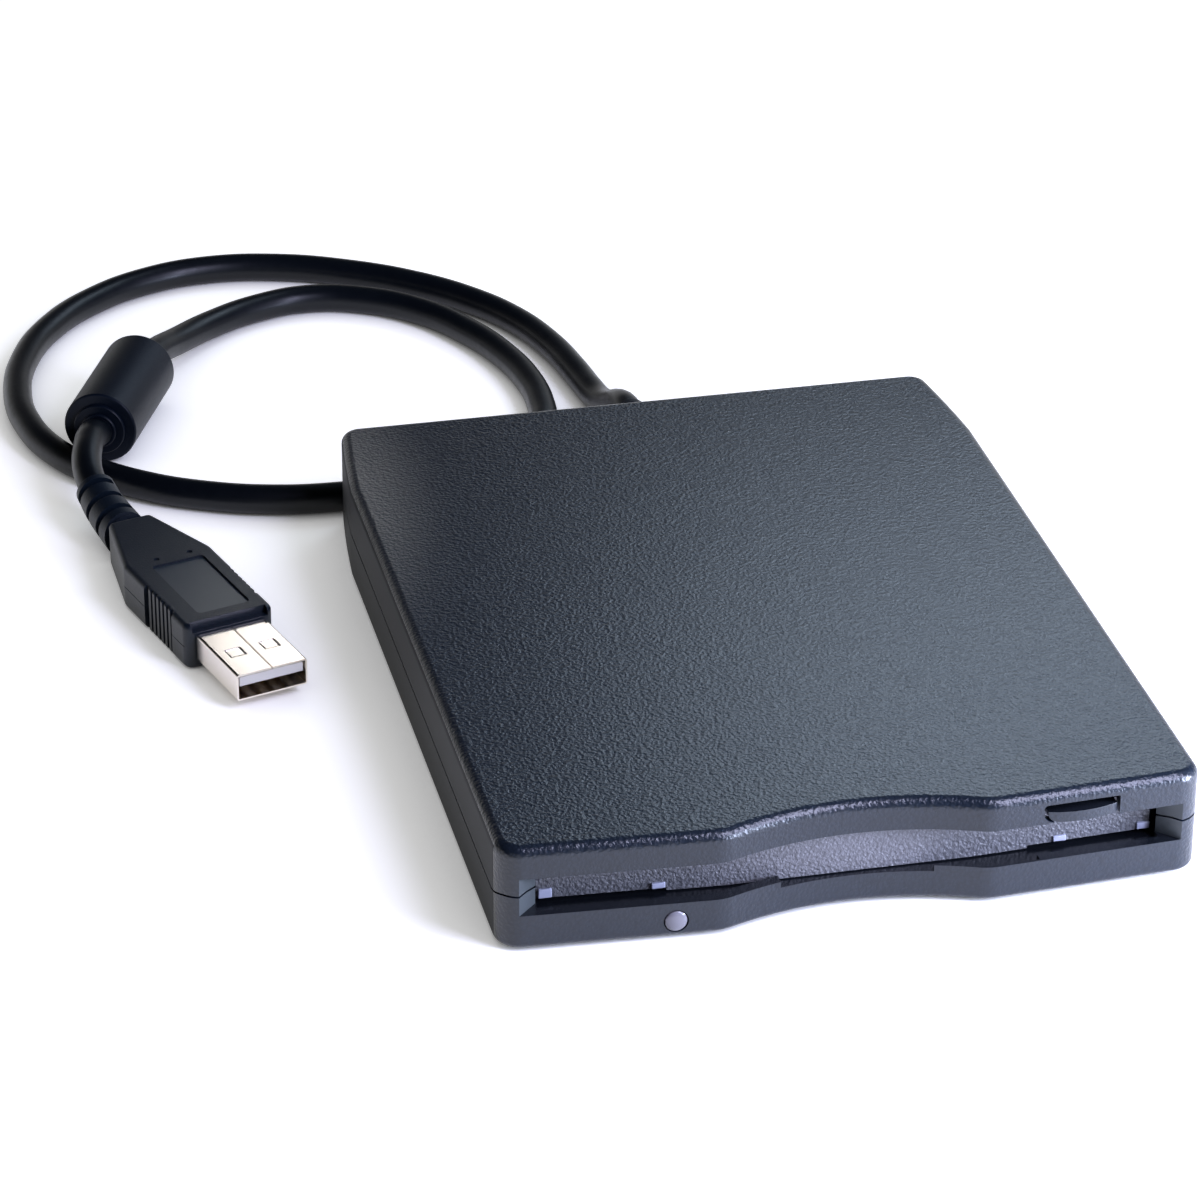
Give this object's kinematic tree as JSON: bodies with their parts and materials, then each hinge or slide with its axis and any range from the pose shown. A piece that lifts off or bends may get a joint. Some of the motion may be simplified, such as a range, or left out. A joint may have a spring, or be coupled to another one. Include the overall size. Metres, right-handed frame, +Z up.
{
  "type": "external floppy disk drive",
  "caption": "Flat portable floppy disk drive with a scooped slot and inner flap, an eject button, a small lamp, and a cord with a filter bead and a plug.",
  "frame": {"origin": "under the middle of the case, on the table", "axes": "-Y out of the front with the slot, +X to the right of someone who faces the slot, +Z up"},
  "size_m": [0.152, 0.2417, 0.0169],
  "materials": {
    "case_plastic": "fine grain",
    "flap_plastic": "coarse grain",
    "rubber": "matte",
    "lens": "clear",
    "board": "satin",
    "steel": "satin",
    "dark_plastic": "satin",
    "white_plastic": "satin",
    "copper": "lacquered",
    "bronze": "satin",
    "cord": "satin",
    "nickel": "bright",
    "gold": "bright"
  },
  "bodies": {
    "case": {"upper_shell": "case_plastic", "lower_shell": "case_plastic", "door_spring": "steel", "lamp_lens": "lens", "lamp_board": "board", "foot_front_left": "rubber", "foot_front_right": "rubber", "foot_rear_left": "rubber", "foot_rear_right": "rubber", "case_screw_front_left": "steel", "case_screw_front_right": "steel", "case_screw_rear_left": "steel", "case_screw_rear_right": "steel", "cable_gland": "rubber", "chassis_frame": "steel", "top_cover": "steel", "eject_spring": "steel", "protect_switch": "dark_plastic", "density_switch": "dark_plastic", "motor_board": "board", "stator": "copper", "bearing": "bronze", "guide_rod_left": "steel", "guide_rod_right": "steel", "stepper_motor": "steel", "main_board": "board", "main_chip": "dark_plastic", "board_connector": "white_plastic", "usb_board": "board", "usb_chip": "dark_plastic", "inner_lead": "rubber", "cord_first": "cord", "ferrite_bead": "cord", "cord_second": "cord", "plug_boot": "cord", "plug_body": "cord", "plug_shell": "nickel", "plug_tongue": "white_plastic", "plug_contact_1": "gold", "plug_contact_2": "gold", "plug_contact_3": "gold", "plug_contact_4": "gold"},
    "flap": {"door_flap": "flap_plastic"},
    "ejector": {"eject_button": "case_plastic", "cam_plate": "steel"},
    "holder": {"disk_holder": "steel", "lever_pin": "steel"},
    "lever": {"shutter_lever": "steel"},
    "spindle": {"rotor": "steel", "ring_magnet": "dark_plastic", "spindle_shaft": "steel", "drive_pin": "steel"},
    "carriage": {"head_carriage": "white_plastic", "lower_head": "dark_plastic"},
    "screw": {"lead_screw": "steel"},
    "arm": {"upper_head_arm": "steel", "upper_head": "dark_plastic"},
    "protect_pin": {"protect_plunger": "white_plastic"},
    "density_pin": {"density_plunger": "white_plastic"}
  },
  "joints": [
    {"name": "flap_swing", "type": "hinge", "parent": "case", "child": "flap", "pos_m": [0, -0.06344, 0.0132], "axis": [1, 0, 0], "range_deg": [0, 78], "stiffness_Nm_per_rad": 0.0006, "springref_deg": -22.92},
    {"name": "eject_slide", "type": "slide", "parent": "case", "child": "ejector", "axis": [0, -1, 0], "range_m": [-0.0006, 0.0045]},
    {"name": "holder_lift", "type": "slide", "parent": "case", "child": "holder", "axis": [0, 0, -1], "range_m": [-0.00024, 0.0018]},
    {"name": "shutter_swing", "type": "hinge", "parent": "holder", "child": "lever", "pos_m": [-0.016, 0.03096, 0.0115], "axis": [0, 0, -1], "range_deg": [0, 68], "stiffness_Nm_per_rad": 0.0002, "springref_deg": -11.46},
    {"name": "spindle_turn", "type": "hinge", "parent": "case", "child": "spindle", "pos_m": [0, -0.01004, 0.003], "axis": [0, 0, 1], "continuous": true},
    {"name": "head_travel", "type": "slide", "parent": "case", "child": "carriage", "axis": [0, -1, 0], "range_m": [0, 0.0148]},
    {"name": "screw_turn", "type": "hinge", "parent": "case", "child": "screw", "pos_m": [-0.024, 0.04596, 0.008], "axis": [0, 1, 0], "range_deg": [0, 1776]},
    {"name": "head_arm_swing", "type": "hinge", "parent": "carriage", "child": "arm", "pos_m": [0, 0.05326, 0.0113], "axis": [1, 0, 0], "range_deg": [-1.17, 8.8]},
    {"name": "protect_press", "type": "slide", "parent": "case", "child": "protect_pin", "axis": [0, 0, -1], "range_m": [0, 0.001], "stiffness_N_per_m": 30, "springref_m": -0.0003},
    {"name": "density_press", "type": "slide", "parent": "case", "child": "density_pin", "axis": [0, 0, -1], "range_m": [0, 0.001], "stiffness_N_per_m": 30, "springref_m": -0.0003}
  ],
  "couplings": [
    {"joint": "holder_lift", "follows": "eject_slide", "ratio": 0.4},
    {"joint": "head_arm_swing", "follows": "eject_slide", "rad_per_m": 34.131},
    {"joint": "screw_turn", "follows": "head_travel", "rad_per_m": 2094.4}
  ]
}
